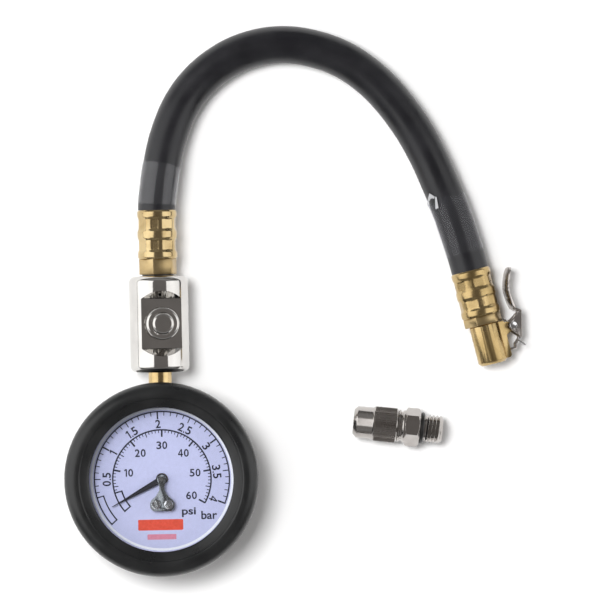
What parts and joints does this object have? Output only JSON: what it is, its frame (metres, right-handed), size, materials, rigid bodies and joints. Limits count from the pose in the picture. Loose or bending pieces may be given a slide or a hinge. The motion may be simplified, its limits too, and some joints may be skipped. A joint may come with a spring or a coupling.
{
  "type": "tyre pressure gauge with hose and chuck",
  "caption": "Dial tyre gauge in a rubber boot, with a bleed valve, a short crimped hose, a clip-on valve chuck with a thumb lever, and a loose screw-on connector.",
  "frame": {"origin": "on the gauge's axis, on the flat back of the rubber boot, which lies on the table", "axes": "+Z out of the dial, +Y from the gauge to the bleed valve, +X to the right of the dial as it is read with the valve at the top"},
  "size_m": [0.1928, 0.2276, 0.034],
  "materials": {
    "boot_rubber": "satin",
    "hose_rubber": "satin",
    "seal_rubber": "satin",
    "case_metal": "satin",
    "bezel_metal": "satin",
    "lens_glass": "gloss",
    "dial_white": "matt",
    "pointer_black": "satin",
    "steel": "satin",
    "lever_nickel": "satin",
    "valve_chrome": "gloss",
    "connector_nickel": "gloss",
    "fitting_brass": "satin",
    "movement_brass": "satin",
    "spring_bronze": "satin",
    "clear_film": "gloss"
  },
  "bodies": {
    "gauge": {"rubber_boot": "boot_rubber", "hose": "hose_rubber", "hose_ends": "hose_rubber", "guide_seal": "seal_rubber", "stem_seal": "seal_rubber", "tail_seal": "seal_rubber", "lens_gasket": "seal_rubber", "chuck_seal": "seal_rubber", "gauge_case": "case_metal", "bezel_ring": "bezel_metal", "lens": "lens_glass", "dial_plate": "dial_white", "pointer_bridge": "steel", "bridge_screws": "steel", "movement_screws": "steel", "case_screws": "steel", "button_spring": "steel", "lever_spring": "steel", "lever_pin": "lever_nickel", "valve_body": "valve_chrome", "button_guide": "valve_chrome", "stem_block": "fitting_brass", "hose_tail_gauge_end": "fitting_brass", "hose_tail_chuck_end": "fitting_brass", "ferrule_gauge_end": "fitting_brass", "ferrule_chuck_end": "fitting_brass", "chuck_body": "fitting_brass", "chuck_depressor": "fitting_brass", "movement_plate_rear": "movement_brass", "movement_plate_front": "movement_brass", "movement_pillars": "movement_brass", "tube_tip": "movement_brass", "bridge_posts": "movement_brass", "bourdon_tube": "spring_bronze", "hairspring": "spring_bronze", "film_gauge_end": "clear_film", "film_chuck_end": "clear_film"},
    "pointer": {"pointer": "pointer_black", "pinion_arbor": "movement_brass"},
    "sector": {"sector_gear": "movement_brass", "sector_arbor": "steel"},
    "link": {"link_bar": "movement_brass", "link_pins": "steel"},
    "button": {"bleed_button": "valve_chrome", "bleed_plunger": "fitting_brass", "plunger_seal": "seal_rubber"},
    "lever": {"valve_lever": "lever_nickel"},
    "connector": {"connector_body": "connector_nickel", "connector_o_ring": "seal_rubber", "connector_seal": "seal_rubber", "connector_pin": "fitting_brass"},
    "connector_nut": {"connector_nut": "connector_nickel"}
  },
  "joints": [
    {"name": "sector_swing", "type": "hinge", "parent": "gauge", "child": "sector", "pos_m": [-0.00964, -0.01376, 0.0126], "axis": [0, 0, 1], "range_deg": [0, 34.03], "stiffness_Nm_per_rad": 0.001, "springref_deg": -2.86},
    {"name": "pointer_spin", "type": "hinge", "parent": "gauge", "child": "pointer", "pos_m": [0, 0, 0.0226], "axis": [0, 0, 1], "range_deg": [-238.3, 0], "deforming": ["hairspring"]},
    {"name": "link_hinge", "type": "hinge", "parent": "sector", "child": "link", "pos_m": [-0.0157, -0.01026, 0.0138], "axis": [0, 0, 1], "range_deg": [-34.1, 0]},
    {"name": "button_press", "type": "slide", "parent": "gauge", "child": "button", "axis": [-0.1392, 0, -0.9903], "range_m": [0, 0.002], "stiffness_N_per_m": 300, "springref_m": -0.002, "deforming": ["button_spring"]},
    {"name": "lever_open", "type": "hinge", "parent": "gauge", "child": "lever", "pos_m": [0.14688, 0.0606, 0.00642], "axis": [0.1692, 0.0391, 0.9848], "range_deg": [0, 13], "stiffness_Nm_per_rad": 0.3, "springref_deg": -11.46, "deforming": ["lever_spring"]},
    {"name": "connector_lift", "type": "slide", "parent": "gauge", "child": "connector", "axis": [0, 0, 1], "range_m": [0, 0.06]},
    {"name": "nut_turn", "type": "hinge", "parent": "connector", "child": "connector_nut", "pos_m": [0.0801, 0.022, 0.00759], "axis": [0.9928, -0.1201, 0], "continuous": true}
  ],
  "couplings": [
    {"joint": "pointer_spin", "follows": "sector_swing", "ratio": -7},
    {"joint": "link_hinge", "follows": "sector_swing", "ratio": -1}
  ]
}
